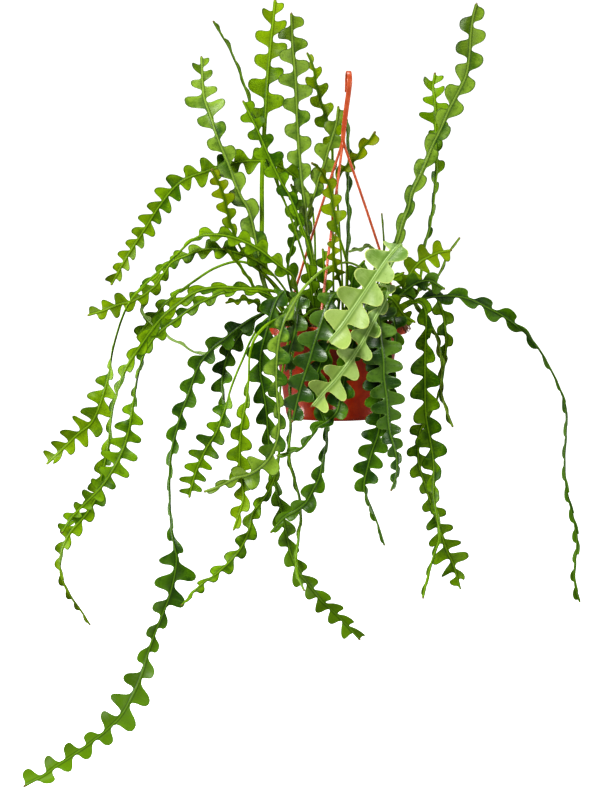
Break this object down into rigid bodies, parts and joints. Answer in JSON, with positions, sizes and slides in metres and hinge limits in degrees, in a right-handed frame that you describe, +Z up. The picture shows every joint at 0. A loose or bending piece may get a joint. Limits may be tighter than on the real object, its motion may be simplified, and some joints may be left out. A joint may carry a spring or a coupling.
{
  "type": "hanging potted cactus",
  "caption": "Fishbone cactus with flat lobed stems, arching out of a round plastic hanging pot with a moulded three-strand hanger.",
  "frame": {"origin": "the point under the hook's bend where the hook bears on what holds it up", "axes": "+Z up along the pot's axis, -Y towards the front of the plant, +X to the viewer's right"},
  "size_m": [0.5925, 0.2454, 0.8094],
  "materials": {
    "pot_plastic": "glossy",
    "soil": "matte",
    "stem_dark": "satin",
    "stem_mid": "satin",
    "stem_bright": "satin",
    "stem_olive": "satin",
    "stem_grey": "satin",
    "stem_pale": "satin"
  },
  "bodies": {
    "root": {"pot": "pot_plastic", "hanger": "pot_plastic", "soil": "soil", "stem_left_1": "stem_bright", "stem_left_2": "stem_bright", "stem_left_3": "stem_mid", "stem_left_4": "stem_mid", "stem_left_5": "stem_mid", "stem_left_6": "stem_dark", "stem_left_7": "stem_pale", "stem_left_8": "stem_olive", "stem_left_9": "stem_olive", "stem_left_10": "stem_olive", "stem_up_1": "stem_bright", "stem_up_2": "stem_grey", "stem_up_3": "stem_mid", "stem_up_4": "stem_mid", "stem_up_5": "stem_grey", "stem_up_6": "stem_olive", "stem_up_7": "stem_grey", "stem_up_8": "stem_olive", "stem_up_9": "stem_dark", "stem_up_10": "stem_olive", "stem_up_11": "stem_olive", "stem_up_12": "stem_dark", "stem_right_1": "stem_grey", "stem_right_2": "stem_mid", "stem_right_3": "stem_dark", "stem_right_4": "stem_dark", "stem_right_5": "stem_mid", "stem_right_6": "stem_grey", "stem_right_7": "stem_mid", "stem_right_8": "stem_grey", "stem_right_9": "stem_olive", "stem_right_10": "stem_bright", "stem_right_11": "stem_dark", "stem_front_1": "stem_pale", "stem_front_2": "stem_pale", "stem_front_3": "stem_bright", "stem_front_4": "stem_grey", "stem_front_5": "stem_grey", "stem_front_6": "stem_dark", "stem_front_7": "stem_dark", "stem_front_8": "stem_dark", "stem_front_9": "stem_dark", "stem_low_1": "stem_mid", "stem_low_2": "stem_mid", "stem_low_3": "stem_dark", "stem_low_4": "stem_bright", "stem_low_5": "stem_dark", "stem_low_6": "stem_mid", "stem_low_7": "stem_mid", "stem_mid_1": "stem_mid", "stem_mid_2": "stem_mid", "stem_mid_3": "stem_dark", "stem_mid_4": "stem_mid", "stem_mid_5": "stem_dark", "stem_mid_6": "stem_pale", "stem_back_1": "stem_mid", "stem_back_2": "stem_dark"}
  },
  "joints": []
}
